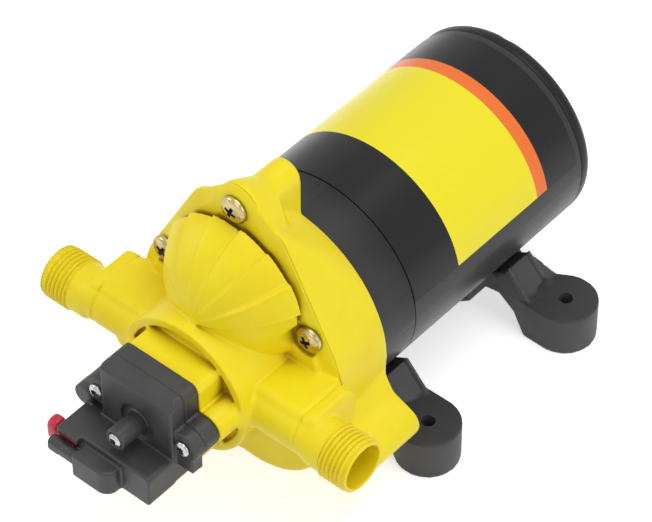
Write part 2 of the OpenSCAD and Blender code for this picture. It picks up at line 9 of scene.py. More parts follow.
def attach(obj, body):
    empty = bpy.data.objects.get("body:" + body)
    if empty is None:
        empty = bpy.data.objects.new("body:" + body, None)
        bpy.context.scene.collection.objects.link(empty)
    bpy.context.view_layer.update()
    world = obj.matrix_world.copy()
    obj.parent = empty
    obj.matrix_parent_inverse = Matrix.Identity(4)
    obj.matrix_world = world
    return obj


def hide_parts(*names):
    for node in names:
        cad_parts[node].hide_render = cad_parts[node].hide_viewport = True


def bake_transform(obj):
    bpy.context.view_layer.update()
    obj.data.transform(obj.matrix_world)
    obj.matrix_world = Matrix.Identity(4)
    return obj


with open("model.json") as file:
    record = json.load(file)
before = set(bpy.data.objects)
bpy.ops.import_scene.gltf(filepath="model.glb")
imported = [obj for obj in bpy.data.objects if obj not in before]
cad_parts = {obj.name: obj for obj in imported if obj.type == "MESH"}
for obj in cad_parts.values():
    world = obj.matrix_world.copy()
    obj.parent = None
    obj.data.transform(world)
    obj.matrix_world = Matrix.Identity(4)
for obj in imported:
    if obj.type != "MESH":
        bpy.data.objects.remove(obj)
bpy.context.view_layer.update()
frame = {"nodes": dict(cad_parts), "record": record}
nodes = frame["nodes"]
bodyOf = {n: b for b, names in frame["record"]["behaviour"]["bodies"].items() for n in names}
scene = bpy.context.scene
scene.view_settings.view_transform = "Standard"
mm = 0.001
axisZ = 54.0  # motor axis above the floor, mm
portY = -95.5  # port axis, mm
print("frame loaded:", len(nodes), "nodes")


# camera and studio

photoView = {
    "place": (0.58488, -0.71124, 0.98788),
    "right": (0.75756, 0.65276, 0.0),
    "up": (-0.47035, 0.54586, 0.69340),
    "back": (0.45262, -0.52529, 0.72055),
    "focalPixels": 3640.0,
    "widthPixels": 652.0,
    "sensor": 36.0,
    "near": 0.02,
    "far": 50.0,
}


def makeCamera(view):
    lens = bpy.data.cameras.new("photoCamera")
    lens.sensor_fit = "HORIZONTAL"
    lens.sensor_width = view["sensor"]
    lens.lens = view["sensor"] * view["focalPixels"] / view["widthPixels"]
    lens.clip_start = view["near"]
    lens.clip_end = view["far"]
    camera = bpy.data.objects.new("photoCamera", lens)
    scene.collection.objects.link(camera)
    turn = Matrix((view["right"], view["up"], view["back"])).transposed().to_4x4()
    camera.matrix_world = Matrix.Translation(view["place"]) @ turn
    scene.camera = camera


studio = {
    "ambient": 0.42,
    "backdrop": 1.0,
    "floorColour": (0.86, 0.86, 0.86, 1.0),
    "floorLift": 0.6,
    "floorReach": 6.0,
    "floorDrop": 0.0002,
    "lamps": [  # name, place, aim, size, watts
        ("overheadBox", (0.25, 0.15, 1.6), (0.0, -0.04, 0.05), 1.3, 10.5),
        ("frontBox", (0.25, -1.65, 0.9), (0.0, -0.06, 0.05), 0.9, 2.8),
        ("sideStrip", (1.5, 0.1, 0.7), (0.0, 0.0, 0.05), 0.8, 5.0),
        ("leftBox", (-1.3, -0.9, 0.9), (0.0, -0.05, 0.05), 0.9, 5.2),
    ],
}


def addMath(tree, operation, first, second):
    step = tree.nodes.new("ShaderNodeMath")
    step.operation = operation
    tree.links.new(first, step.inputs[0])
    if isinstance(second, float):
        step.inputs[1].default_value = second
    else:
        tree.links.new(second, step.inputs[1])
    return step.outputs[0]


def seenDirectly(tree):
    path = tree.nodes.new("ShaderNodeLightPath").outputs
    seen = addMath(tree, "MAXIMUM", path["Is Camera Ray"], path["Is Glossy Ray"])
    return addMath(tree, "MAXIMUM", seen, path["Is Transmission Ray"])


def makeWorld(look):
    world = bpy.data.worlds.new("studioAir")
    world.use_nodes = True
    scene.world = world
    tree = world.node_tree
    tree.nodes.clear()
    out = tree.nodes.new("ShaderNodeOutputWorld")
    mix = tree.nodes.new("ShaderNodeMixShader")
    tree.links.new(seenDirectly(tree), mix.inputs["Fac"])
    for slot, strength in ((1, look["ambient"]), (2, look["backdrop"])):
        air = tree.nodes.new("ShaderNodeBackground")
        air.inputs["Color"].default_value = (1.0, 1.0, 1.0, 1.0)
        air.inputs["Strength"].default_value = strength
        tree.links.new(air.outputs[0], mix.inputs[slot])
    tree.links.new(mix.outputs[0], out.inputs["Surface"])


def makeFloor(look):
    mesh = bpy.data.meshes.new("floor")
    reach = look["floorReach"]
    corners = [(-reach, -reach), (reach, -reach), (reach, reach), (-reach, reach)]
    mesh.from_pydata([(x, y, -look["floorDrop"]) for x, y in corners], [], [(0, 1, 2, 3)])
    floor = bpy.data.objects.new("floor", mesh)
    scene.collection.objects.link(floor)
    paper = bpy.data.materials.new("whitePaper")
    paper.use_nodes = True
    tree = paper.node_tree
    tree.nodes.clear()
    out = tree.nodes.new("ShaderNodeOutputMaterial")
    matt = tree.nodes.new("ShaderNodeBsdfDiffuse")
    matt.inputs["Color"].default_value = look["floorColour"]
    glow = tree.nodes.new("ShaderNodeEmission")
    lift = addMath(tree, "MULTIPLY", seenDirectly(tree), look["floorLift"])
    tree.links.new(lift, glow.inputs["Strength"])
    both = tree.nodes.new("ShaderNodeAddShader")
    tree.links.new(matt.outputs[0], both.inputs[0])
    tree.links.new(glow.outputs[0], both.inputs[1])
    tree.links.new(both.outputs[0], out.inputs["Surface"])
    mesh.materials.append(paper)


def makeLamps(look):
    for name, place, aim, size, watts in look["lamps"]:
        lamp = bpy.data.lights.new(name, "AREA")
        lamp.shape = "DISK"
        lamp.size = size
        lamp.energy = watts
        holder = bpy.data.objects.new(name, lamp)
        scene.collection.objects.link(holder)
        holder.location = place
        facing = (Vector(aim) - Vector(place)).to_track_quat("-Z", "Y")
        holder.rotation_euler = facing.to_euler()


makeCamera(photoView)
makeWorld(studio)
makeFloor(studio)
makeLamps(studio)
print("camera and studio ready")


# shared surface effect: grain, blotches, worn edges and painted shade in crevices

surfaceSockets = [
    ("Colour", "NodeSocketColor", (0.8, 0.8, 0.8, 1.0)),
    ("Shade Colour", "NodeSocketColor", (0.6, 0.6, 0.6, 1.0)),
    ("Edge Colour", "NodeSocketColor", (1.0, 1.0, 1.0, 1.0)),
    ("Grain Scale", "NodeSocketFloat", 1800.0),
    ("Blotch Scale", "NodeSocketFloat", 60.0),
    ("Edge Amount", "NodeSocketFloat", 0.2),
    ("Painted Shade Colour", "NodeSocketColor", (0.1, 0.1, 0.1, 1.0)),
    ("Painted Shade Reach", "NodeSocketFloat", 0.006),
    ("Painted Shade Amount", "NodeSocketFloat", 0.0),
    ("Rough Low", "NodeSocketFloat", 0.35),
    ("Rough High", "NodeSocketFloat", 0.5),
]
surfaceLook = {
    "fine": (3.0, 0.6),  # detail and roughness of the noise
    "broad": (4.0, 0.55),
    "cloudSpan": (0.36, 0.68),
    "edgeSpan": (0.53, 0.62),
    "roughSpan": (0.3, 0.7),
    "nookSpan": (0.64, 0.24),
    "nookSamples": 12,
}


def addNoise(tree, grade, place, scale):
    noise = tree.nodes.new("ShaderNodeTexNoise")
    noise.inputs["Detail"].default_value, noise.inputs["Roughness"].default_value = grade
    tree.links.new(place, noise.inputs["Vector"])
    tree.links.new(scale, noise.inputs["Scale"])
    return noise.outputs["Fac"]


def addRange(tree, value, span, kind="SMOOTHSTEP"):
    scale = tree.nodes.new("ShaderNodeMapRange")
    scale.interpolation_type = kind
    scale.inputs["From Min"].default_value, scale.inputs["From Max"].default_value = span
    tree.links.new(value, scale.inputs["Value"])
    return scale


def addMix(tree, share, first, second):
    mix = tree.nodes.new("ShaderNodeMix")
    mix.data_type = "RGBA"
    tree.links.new(share, mix.inputs["Factor"])
    tree.links.new(first, mix.inputs["A"])
    tree.links.new(second, mix.inputs["B"])
    return mix.outputs["Result"]


def makeSurfaceGroup(look):
    group = bpy.data.node_groups.new("mouldedSurface", "ShaderNodeTree")
    face = group.interface
    for name, kind, value in surfaceSockets:
        socket = face.new_socket(name, in_out="INPUT", socket_type=kind)
        socket.default_value = value
    face.new_socket("Colour", in_out="OUTPUT", socket_type="NodeSocketColor")
    face.new_socket("Roughness", in_out="OUTPUT", socket_type="NodeSocketFloat")
    face.new_socket("Height", in_out="OUTPUT", socket_type="NodeSocketFloat")
    link = group.links
    given = group.nodes.new("NodeGroupInput").outputs
    sent = group.nodes.new("NodeGroupOutput").inputs
    where = group.nodes.new("ShaderNodeTexCoord").outputs["Object"]
    fine = addNoise(group, look["fine"], where, given["Grain Scale"])
    broad = addNoise(group, look["broad"], where, given["Blotch Scale"])
    cloud = addRange(group, broad, look["cloudSpan"]).outputs["Result"]
    tint = addMix(group, cloud, given["Colour"], given["Shade Colour"])
    shape = group.nodes.new("ShaderNodeNewGeometry")
    edge = addRange(group, shape.outputs["Pointiness"], look["edgeSpan"]).outputs["Result"]
    rub = addMath(group, "MULTIPLY", edge, given["Edge Amount"])
    worn = addMix(group, rub, tint, given["Edge Colour"])
    # painted shade: ambient occlusion darkens creases and recesses towards the given colour
    nook = group.nodes.new("ShaderNodeAmbientOcclusion")
    nook.samples = look["nookSamples"]
    link.new(given["Painted Shade Reach"], nook.inputs["Distance"])
    deep = addRange(group, nook.outputs["AO"], look["nookSpan"]).outputs["Result"]
    shadeShare = addMath(group, "MULTIPLY", deep, given["Painted Shade Amount"])
    withPaintedShade = addMix(group, shadeShare, worn, given["Painted Shade Colour"])
    rough = addRange(group, broad, look["roughSpan"], "LINEAR")
    link.new(given["Rough Low"], rough.inputs["To Min"])
    link.new(given["Rough High"], rough.inputs["To Max"])
    link.new(withPaintedShade, sent["Colour"])
    link.new(rough.outputs["Result"], sent["Roughness"])
    link.new(fine, sent["Height"])
    return group


surfaceGroup = makeSurfaceGroup(surfaceLook)
plainFinish = {"grain": 1500.0, "blotch": 60.0, "wear": 0.2, "bump": 0.15, "deep": 0.05, "metal": 0.0,
               "specular": 0.5}


def makeFinish(name, own):
    look = {**plainFinish, **own}
    paint = bpy.data.materials.new(name)
    paint.use_nodes = True
    tree = paint.node_tree
    shader = tree.nodes["Principled BSDF"]
    surface = tree.nodes.new("ShaderNodeGroup")
    surface.node_tree = surfaceGroup
    surface.inputs["Colour"].default_value = (*look["colour"], 1.0)
    surface.inputs["Shade Colour"].default_value = (*look["shade"], 1.0)
    surface.inputs["Edge Colour"].default_value = (*look.get("edge", look["colour"]), 1.0)
    surface.inputs["Grain Scale"].default_value = look["grain"]
    surface.inputs["Blotch Scale"].default_value = look["blotch"]
    surface.inputs["Edge Amount"].default_value = look["wear"]
    if "paintedShade" in look:
        tint, reach, amount = look["paintedShade"]
        surface.inputs["Painted Shade Colour"].default_value = (*tint, 1.0)
        surface.inputs["Painted Shade Reach"].default_value = reach * mm
        surface.inputs["Painted Shade Amount"].default_value = amount
    surface.inputs["Rough Low"].default_value = look["rough"][0]
    surface.inputs["Rough High"].default_value = look["rough"][1]
    tree.links.new(surface.outputs["Colour"], shader.inputs["Base Color"])
    tree.links.new(surface.outputs["Roughness"], shader.inputs["Roughness"])
    bump = tree.nodes.new("ShaderNodeBump")
    bump.inputs["Strength"].default_value = look["bump"]
    bump.inputs["Distance"].default_value = look["deep"] * mm
    tree.links.new(surface.outputs["Height"], bump.inputs["Height"])
    tree.links.new(bump.outputs["Normal"], shader.inputs["Normal"])
    shader.inputs["Metallic"].default_value = look["metal"]
    shader.inputs["Specular IOR Level"].default_value = look["specular"]
    return paint


# painted shade in crevices, recesses and screw slots: colour, reach in mm, amount
finishes = {
    # yellow plastic gets brown painted shade in its creases and pockets
    "yellowPlastic": {
        "colour": (0.93, 0.765, 0.008), "shade": (0.91, 0.71, 0.008), "edge": (0.95, 0.83, 0.03),
        "rough": (0.36, 0.48), "grain": 900.0, "blotch": 45.0, "wear": 0.35, "bump": 0.12,
        "specular": 0.35, "paintedShade": ((0.34, 0.18, 0.006), 7.5, 0.9)},
    "blackPaint": {
        "colour": (0.008, 0.008, 0.009), "shade": (0.012, 0.012, 0.013), "edge": (0.10, 0.10, 0.10),
        "rough": (0.30, 0.40), "grain": 1400.0, "blotch": 30.0, "wear": 0.3, "bump": 0.1,
        "specular": 0.2},
    "blackPlastic": {
        "colour": (0.027, 0.027, 0.029), "shade": (0.037, 0.037, 0.039), "edge": (0.13, 0.13, 0.135),
        "rough": (0.40, 0.53), "grain": 2200.0, "blotch": 90.0, "wear": 0.45, "bump": 0.35,
        "deep": 0.06},
    "greyRubber": {
        "colour": (0.046, 0.045, 0.047), "shade": (0.060, 0.059, 0.061), "edge": (0.13, 0.13, 0.13),
        "rough": (0.52, 0.66), "grain": 1700.0, "blotch": 70.0, "wear": 0.4, "bump": 0.3,
        "deep": 0.08},
    # yellowZinc, steel and dullZinc carry near-black painted shade in slots and recesses
    "yellowZinc": {
        "colour": (0.56, 0.45, 0.20), "shade": (0.36, 0.28, 0.14), "edge": (0.90, 0.84, 0.62),
        "rough": (0.14, 0.30), "grain": 2500.0, "blotch": 330.0, "wear": 0.5, "bump": 0.12,
        "metal": 1.0, "paintedShade": ((0.012, 0.010, 0.006), 2.6, 1.0)},
    "steel": {
        "colour": (0.52, 0.52, 0.53), "shade": (0.36, 0.36, 0.38), "edge": (0.86, 0.86, 0.86),
        "rough": (0.18, 0.34), "grain": 2500.0, "blotch": 300.0, "wear": 0.5, "bump": 0.12,
        "metal": 1.0, "paintedShade": ((0.008, 0.008, 0.008), 1.6, 1.0)},
    "dullZinc": {
        "colour": (0.30, 0.30, 0.31), "shade": (0.20, 0.20, 0.21), "edge": (0.55, 0.55, 0.55),
        "rough": (0.38, 0.52), "grain": 2200.0, "blotch": 260.0, "wear": 0.4, "bump": 0.2,
        "metal": 1.0, "paintedShade": ((0.01, 0.01, 0.01), 2.0, 0.9)},
    # near-black painted shade for the faces of the screw slots
    "paintedSlotShade": {
        "colour": (0.010, 0.009, 0.008), "shade": (0.018, 0.016, 0.013), "rough": (0.5, 0.65)},
    "sealRubber": {
        "colour": (0.018, 0.018, 0.018), "shade": (0.028, 0.028, 0.028), "rough": (0.5, 0.65),
        "bump": 0.2},
    "whitePlastic": {
        "colour": (0.76, 0.76, 0.72), "shade": (0.68, 0.68, 0.64), "rough": (0.4, 0.5)},
    "ferrite": {
        "colour": (0.045, 0.043, 0.042), "shade": (0.07, 0.066, 0.064), "rough": (0.6, 0.75),
        "bump": 0.4},
    "coreSteel": {
        "colour": (0.30, 0.30, 0.31), "shade": (0.22, 0.22, 0.23), "rough": (0.35, 0.5), "metal": 1.0},
    "copper": {
        "colour": (0.72, 0.30, 0.14), "shade": (0.55, 0.20, 0.09), "rough": (0.25, 0.4), "metal": 1.0},
    "bronze": {
        "colour": (0.55, 0.38, 0.16), "shade": (0.44, 0.29, 0.12), "rough": (0.35, 0.5), "metal": 1.0},
    "carbon": {
        "colour": (0.02, 0.02, 0.02), "shade": (0.035, 0.035, 0.035), "rough": (0.5, 0.6)},
    "labelFilm": {
        "colour": (0.02, 0.02, 0.022), "shade": (0.02, 0.02, 0.022), "rough": (0.20, 0.30),
        "grain": 300.0, "blotch": 25.0, "wear": 0.0, "bump": 0.05, "specular": 0.25},
    "redPlastic": {
        "colour": (0.68, 0.02, 0.07), "shade": (0.56, 0.012, 0.05), "edge": (0.8, 0.2, 0.2),
        "rough": (0.25, 0.38), "blotch": 150.0, "bump": 0.1},
}
paints = {name: makeFinish(name, look) for name, look in finishes.items()}

finishOf = {
    "yellowPlastic": ["front_head", "drive_housing"],
    "blackPaint": ["motor_can", "front_bell", "rear_cap"],
    "blackPlastic": ["switch_base", "switch_cover", "microswitch", "brush_plate", "dark_sleeve"],
    "greyRubber": ["front_mount", "rear_mount"],
    "yellowZinc": ["head_screws"],
    "dullZinc": ["mount_screws", "bell_screws", "through_bolts"],
    "steel": ["switch_screws", "adjust_screw", "piston_screws", "shaft", "cam_bearing_outer",
              "cam_bearing_balls", "cam_bearing_inner", "front_bearing_outer", "front_bearing_balls",
              "front_bearing_inner", "switch_spring", "brush_springs", "cam_hub"],
    "sealRubber": ["head_seal", "outlet_valve", "inlet_valves", "diaphragm", "diaphragm_cups",
                   "pressure_diaphragm"],
    "whitePlastic": ["valve_plate", "piston_pads", "wobble_plate", "plunger"],
    "ferrite": ["magnets"],
    "coreSteel": ["armature_core"],
    "copper": ["windings", "commutator"],
    "bronze": ["rear_bushing", "spring_nut", "terminals"],
    "carbon": ["brushes"],
    "labelFilm": ["motor_label"],
    "redPlastic": ["terminal_sleeve", "microswitch_button"],
}
paintOf = {node: paints[name] for name, members in finishOf.items() for node in members}

filmBlack = (0.010, 0.010, 0.011)
labelBands = {  # where each band starts along the motor, mm
    "axis": "Y",
    "blend": "CONSTANT",
    "start": -31.2,
    "stop": 60.0,
    "bands": [(-31.2, filmBlack), (-7.6, (0.92, 0.80, 0.022)), (36.9, (0.90, 0.19, 0.036)),
              (42.6, filmBlack)],
}

padSide = finishes["greyRubber"]["colour"]
# painted shade colour for the tops of the feet
paintedPadTopShade = (0.024, 0.023, 0.025)
padTopShadeBands = {  # painted shade: darker tops of the feet, by height in mm
    "axis": "Z",
    "blend": "LINEAR",
    "start": 14.0,
    "stop": 20.0,
    "bands": [(14.0, padSide), (16.4, padSide), (16.85, paintedPadTopShade), (17.5, paintedPadTopShade), (17.9, padSide)],
}


def paintBands(paint, look):
    tree = paint.node_tree
    surface = next(n for n in tree.nodes if n.type == "GROUP")
    where = tree.nodes.new("ShaderNodeTexCoord")
    split = tree.nodes.new("ShaderNodeSeparateXYZ")
    tree.links.new(where.outputs["Object"], split.inputs[0])
    span = (look["start"] * mm, look["stop"] * mm)
    along = addRange(tree, split.outputs[look["axis"]], span, "LINEAR")
    ramp = tree.nodes.new("ShaderNodeValToRGB")
    ramp.color_ramp.interpolation = look["blend"]
    stops = ramp.color_ramp.elements
    stops.remove(stops[1])
    length = look["stop"] - look["start"]
    for i, (at, colour) in enumerate(look["bands"]):
        stop = stops[0] if i == 0 else stops.new((at - look["start"]) / length)
        stop.color = (*colour, 1.0)
    tree.links.new(along.outputs["Result"], ramp.inputs["Fac"])
    tree.links.new(ramp.outputs["Color"], surface.inputs["Colour"])
    tree.links.new(ramp.outputs["Color"], surface.inputs["Shade Colour"])


paintBands(paints["labelFilm"], labelBands)
paintBands(paints["greyRubber"], padTopShadeBands)


def dress(piece, paint):
    if len(piece.data.materials) == 0:
        piece.data.materials.append(paint)
    for i in range(len(piece.data.materials)):
        piece.data.materials[i] = paint


for name, piece in nodes.items():
    dress(piece, paintOf[name])
print("finishes ready:", len(paints))


# mesh helpers

def bakeModifiers(piece):
    depsgraph = bpy.context.evaluated_depsgraph_get()
    shaped = bpy.data.meshes.new_from_object(piece.evaluated_get(depsgraph))
    old = piece.data
    piece.modifiers.clear()
    piece.data = shaped
    bpy.data.meshes.remove(old)


def placesOf(mesh):
    place = np.empty(len(mesh.vertices) * 3)
    mesh.vertices.foreach_get("co", place)
    return place.reshape(-1, 3)


def setPlaces(mesh, place):
    mesh.vertices.foreach_set("co", place.ravel())
    mesh.update()


def smoothFaces(mesh, sharp=None):
    mesh.polygons.foreach_set("use_smooth", np.ones(len(mesh.polygons), dtype=bool))
    if sharp:
        mesh.set_sharp_from_angle(angle=math.radians(sharp))


def closedMesh(name, points, faces):
    mesh = bpy.data.meshes.new(name)
    mesh.from_pydata(points, [], faces)
    work = bmesh.new()
    work.from_mesh(mesh)
    bmesh.ops.recalc_face_normals(work, faces=work.faces)
    work.to_mesh(mesh)
    work.free()
    return mesh


def addPiece(name, mesh):
    piece = bpy.data.objects.new(name, mesh)
    scene.collection.objects.link(piece)
    return piece


# soft-edged mouldings made from the solids

relaxStep = 0.5
weldGap = 2e-6


def relax(mesh, passes, softness):
    count = len(mesh.vertices)
    place = placesOf(mesh)
    ends = np.empty(len(mesh.edges) * 2, dtype=np.int64)
    mesh.edges.foreach_get("vertices", ends)
    a, b = ends[0::2], ends[1::2]
    degree = np.maximum(np.bincount(ends, minlength=count), 1)
    share = relaxStep * (softness(place / mm) if softness else np.ones(count))
    for _ in range(passes):
        for axis in range(3):
            column = place[:, axis]
            total = np.bincount(a, column[b], count) + np.bincount(b, column[a], count)
            place[:, axis] = column + share * (total / degree - column)
    setPlaces(mesh, place)


def softShell(look):
    mesh = nodes[look["node"]].data.copy()
    mesh.materials.clear()
    work = bmesh.new()
    work.from_mesh(mesh)
    bmesh.ops.remove_doubles(work, verts=work.verts, dist=weldGap)
    work.to_mesh(mesh)
    work.free()
    piece = addPiece(look["piece"], mesh)
    skin = piece.modifiers.new("skin", "REMESH")
    skin.mode = "VOXEL"
    skin.voxel_size = look["voxel"] * mm
    bakeModifiers(piece)
    relax(piece.data, look["passes"], look.get("softness"))
    if "shape" in look:
        look["shape"](piece.data)
    thin = piece.modifiers.new("thin", "DECIMATE")
    thin.ratio = look["keep"]
    bakeModifiers(piece)
    smoothFaces(piece.data, look.get("sharp"))
    dress(piece, paintOf[look["node"]])
    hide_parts(look["node"])
    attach(piece, bodyOf[look["node"]])
    print(look["piece"], len(piece.data.polygons), "faces")


# softness: 1 rounds an edge fully, near 0 keeps it; "along" is from the port axis, "up" from the motor axis
headZones = {
    "plain": 0.55,
    "rimFrom": 15.9, "rimUp": 9.0, "rim": 1.0,
    "domeUp": 28.0, "fanRadius": 33.6, "fanTo": 14.8, "fanUp": 3.0, "fan": 0.04,
    "grooveFrom": 13.8, "grooveTo": 16.6, "grooveRadius": 37.0, "groove": 0.06,
    "hubRadius": 2.6, "hubTo": -4.0,
    "collarFrom": 44.6, "collarTo": 48.4, "collar": 0.07,
    "threadFrom": 57.5, "threadRadius": 11.5, "thread": 0.05,
    "jointFrom": 17.8, "joint": 0.03,
}


def headSoftness(p):
    look = headZones
    soft = np.full(len(p), look["plain"])
    side = np.abs(p[:, 0])
    along = p[:, 1] - portY
    up = p[:, 2] - axisZ
    fromDome = np.hypot(p[:, 0], up - look["domeUp"])
    high = up > look["rimUp"]
    soft[(along > look["rimFrom"]) & high] = look["rim"]
    onFan = (fromDome < look["fanRadius"]) & (along < look["fanTo"]) & (up > look["fanUp"])
    soft[onFan] = look["fan"]
    inGroove = (along > look["grooveFrom"]) & (along < look["grooveTo"])
    soft[inGroove & high & (fromDome < look["grooveRadius"])] = look["groove"]
    soft[(fromDome < look["hubRadius"]) & (along < look["hubTo"])] = look["plain"]
    soft[(side > look["collarFrom"]) & (side < look["collarTo"])] = look["collar"]
    onThread = (side > look["threadFrom"]) & (np.hypot(along, up) < look["threadRadius"])
    soft[onThread] = look["thread"]
    soft[along > look["jointFrom"]] = look["joint"]
    return soft


housingZones = {"jointTo": 19.6, "joint": 0.03, "plain": 1.0}


def housingSoftness(p):
    look = housingZones
    return np.where(p[:, 1] - portY < look["jointTo"], look["joint"], look["plain"])


switchZones = {"jointY": -124.7, "jointHalf": 1.3, "joint": 0.03, "plain": 1.0,
               "bevelTo": -127.0, "bevelUp": 15.8, "bevel": 0.15}


def switchSoftness(p):
    look = switchZones
    nearJoint = np.abs(p[:, 1] - look["jointY"]) < look["jointHalf"]
    soft = np.where(nearJoint, look["joint"], look["plain"])
    soft[(p[:, 1] < look["bevelTo"]) & (p[:, 2] - axisZ > look["bevelUp"])] = look["bevel"]
    return soft


sleeveZones = {"beadTo": -25.9, "bead": 1.0, "bore": 0.08}


def sleeveSoftness(p):
    look = sleeveZones
    return np.where(p[:, 0] < look["beadTo"], look["bead"], look["bore"])


portThread = {"start": 58.6, "stop": 70.4, "inside": 9.0, "outside": 11.5, "root": 9.4, "crest": 10.42,
              "pitch": 1.8, "steep": 1.35, "sink": 0.12, "fade": 1.2}


def cutThreads(mesh):
    look = portThread
    place = placesOf(mesh) / mm
    x, y, z = np.abs(place[:, 0]), place[:, 1] - portY, place[:, 2] - axisZ
    radius = np.hypot(y, z)
    onPort = (x > look["start"]) & (x < look["stop"])
    outer = onPort & (radius > look["inside"]) & (radius < look["outside"])
    turn = np.arctan2(z, y) / (2 * np.pi) * np.sign(place[:, 0])
    wave = 0.5 + 0.5 * np.cos(2 * np.pi * ((x - look["start"]) / look["pitch"] + turn))
    wave = np.clip(look["steep"] * wave - look["sink"], 0.0, 1.0)
    fade = np.clip((look["stop"] - x) / look["fade"], 0.0, 1.0)
    wanted = look["root"] + (look["crest"] - look["root"]) * wave * fade
    ratio = np.where(outer, wanted / np.maximum(radius, 1.0), 1.0)
    place[:, 1] = portY + y * ratio
    place[:, 2] = axisZ + z * ratio
    setPlaces(mesh, place * mm)


# panels of the dome tilt like the leaves of a fan, flat near the hub
fanPanels = {"first": 152.0, "turn": 23.0, "count": 6, "lift": 1.5, "edge": 0.6, "inner": 9.0,
             "outer": 22.0, "rim": 15.4, "centre": 26.26, "up": 28.0, "radius": 31.0}


def raisePanels(mesh):
    look = fanPanels
    place = placesOf(mesh) / mm
    away = place - np.array((0.0, portY + look["centre"], axisZ + look["up"]))
    along = place[:, 1] - portY
    fromHub = np.hypot(away[:, 0], away[:, 2])
    reach = np.linalg.norm(away, axis=1)
    angle = np.degrees(np.arctan2(away[:, 2], away[:, 0]))
    turns = (look["first"] - angle) / look["turn"]
    across = turns - np.floor(turns)
    width = np.maximum(np.radians(look["turn"]) * fromHub, 2.0 * look["edge"])
    edge = look["edge"] / width
    tilt = np.clip(0.5 - across, 0.5 * (across - 1.0) / edge, 0.5 * across / edge)
    grow = np.clip((fromHub - look["inner"]) / (look["outer"] - look["inner"]), 0.0, 1.0)
    grow = grow * grow * (3.0 - 2.0 * grow) * np.clip(look["rim"] - along, 0.0, 1.0)
    onFan = (turns > 0.0) & (turns < look["count"])
    onFan &= (reach > look["radius"]) & (along < look["rim"])
    lift = np.where(onFan, look["lift"] * tilt * grow, 0.0)
    place += away * (lift / np.maximum(reach, 1.0))[:, None]
    setPlaces(mesh, place * mm)


def shapeHead(mesh):
    cutThreads(mesh)
    raisePanels(mesh)


footPads = {"x": 54.0, "y": 39.5, "reach": 11.35, "floor": 15.25, "top": 17.12}


def levelPads(mesh):
    look = footPads
    place = placesOf(mesh) / mm
    side, along = np.abs(place[:, 0]) - look["x"], np.abs(place[:, 1]) - look["y"]
    sunk = (place[:, 2] > look["floor"]) & (place[:, 2] < look["top"])
    place[sunk & (np.hypot(side, along) < look["reach"]), 2] = look["top"]
    setPlaces(mesh, place * mm)


mouldings = [
    {"node": "front_head", "piece": "headCasting", "voxel": 0.42, "passes": 40, "keep": 0.35,
     "softness": headSoftness, "shape": shapeHead},
    {"node": "drive_housing", "piece": "housingCasting", "voxel": 0.5, "passes": 24, "keep": 0.35,
     "softness": housingSoftness},
    {"node": "switch_cover", "piece": "switchCoverShell", "voxel": 0.32, "passes": 9, "keep": 0.5,
     "softness": switchSoftness},
    {"node": "switch_base", "piece": "switchBaseShell", "voxel": 0.35, "passes": 9, "keep": 0.5,
     "softness": switchSoftness},
    {"node": "front_mount", "piece": "frontSaddle", "voxel": 0.45, "passes": 6, "keep": 0.4,
     "shape": levelPads, "sharp": 42.0},
    {"node": "rear_mount", "piece": "rearSaddle", "voxel": 0.45, "passes": 6, "keep": 0.4,
     "shape": levelPads, "sharp": 42.0},
    {"node": "rear_cap", "piece": "rearCapShell", "voxel": 0.5, "passes": 5, "keep": 0.4},
    {"node": "terminal_sleeve", "piece": "redSleeve", "voxel": 0.2, "passes": 110, "keep": 0.6,
     "softness": sleeveSoftness},
    {"node": "dark_sleeve", "piece": "darkSleeve", "voxel": 0.18, "passes": 24, "keep": 0.6},
]
for moulding in mouldings:
    softShell(moulding)


# cross-slot screws; sizes of the form are shares of the head's radius, its height or the shank's radius

screwForm = {"flat": 0.34, "rise": 0.66, "domeSteps": 10, "lip": 0.06, "under": 0.95, "pointFrom": 0.8,
             "point": 0.6, "sides": 48, "toolFront": 1.2, "toolTaper": 0.5, "bevel": 0.03,
             "bevelSteps": 2, "bevelAngle": 35.0, "sharp": 40.0}


def latheMesh(profile, segments):
    points, faces = [], []
    rings = []
    for r, y in profile:
        if r < 1e-9:
            rings.append([len(points)])
            points.append((0.0, y, 0.0))
        else:
            rings.append(list(range(len(points), len(points) + segments)))
            for i in range(segments):
                a = 2 * math.pi * i / segments
                points.append((r * math.cos(a), y, r * math.sin(a)))
    for low, high in zip(rings, rings[1:]):
        for i in range(segments):
            j = (i + 1) % segments
            if len(low) == 1:
                faces.append((low[0], high[i], high[j]))
            elif len(high) == 1:
                faces.append((low[i], high[0], low[j]))
            else:
                faces.append((low[i], high[i], high[j], low[j]))
    return closedMesh("lathe", points, faces)


def crossCutter(reach, width, front, depth, taper):
    corner = [(width, reach), (width, width), (reach, width)]
    star = corner + [(x, -z) for x, z in reversed(corner)]
    star += [(-x, -z) for x, z in corner] + [(-x, z) for x, z in reversed(corner)]
    points = [(x, front, z) for x, z in star] + [(x * taper, depth, z * taper) for x, z in star]
    n = len(star)
    faces = [tuple(range(n)), tuple(range(2 * n - 1, n - 1, -1))]
    faces += [(i, n + i, n + (i + 1) % n, (i + 1) % n) for i in range(n)]
    return closedMesh("cutter", points, faces)


def screwProfile(r, h, s, length, form):
    angles = [math.pi / 2 * i / form["domeSteps"] for i in range(form["domeSteps"] + 1)]
    dome = [(r * math.sin(a), -h * (form["flat"] + form["rise"] * math.cos(a))) for a in angles]
    skirt = [(r, -h * form["lip"]), (r * form["under"], 0.0)]
    shank = [(s, 0.0), (s, length - form["pointFrom"] * s), (s * form["point"], length), (0.0, length)]
    return dome + skirt + shank


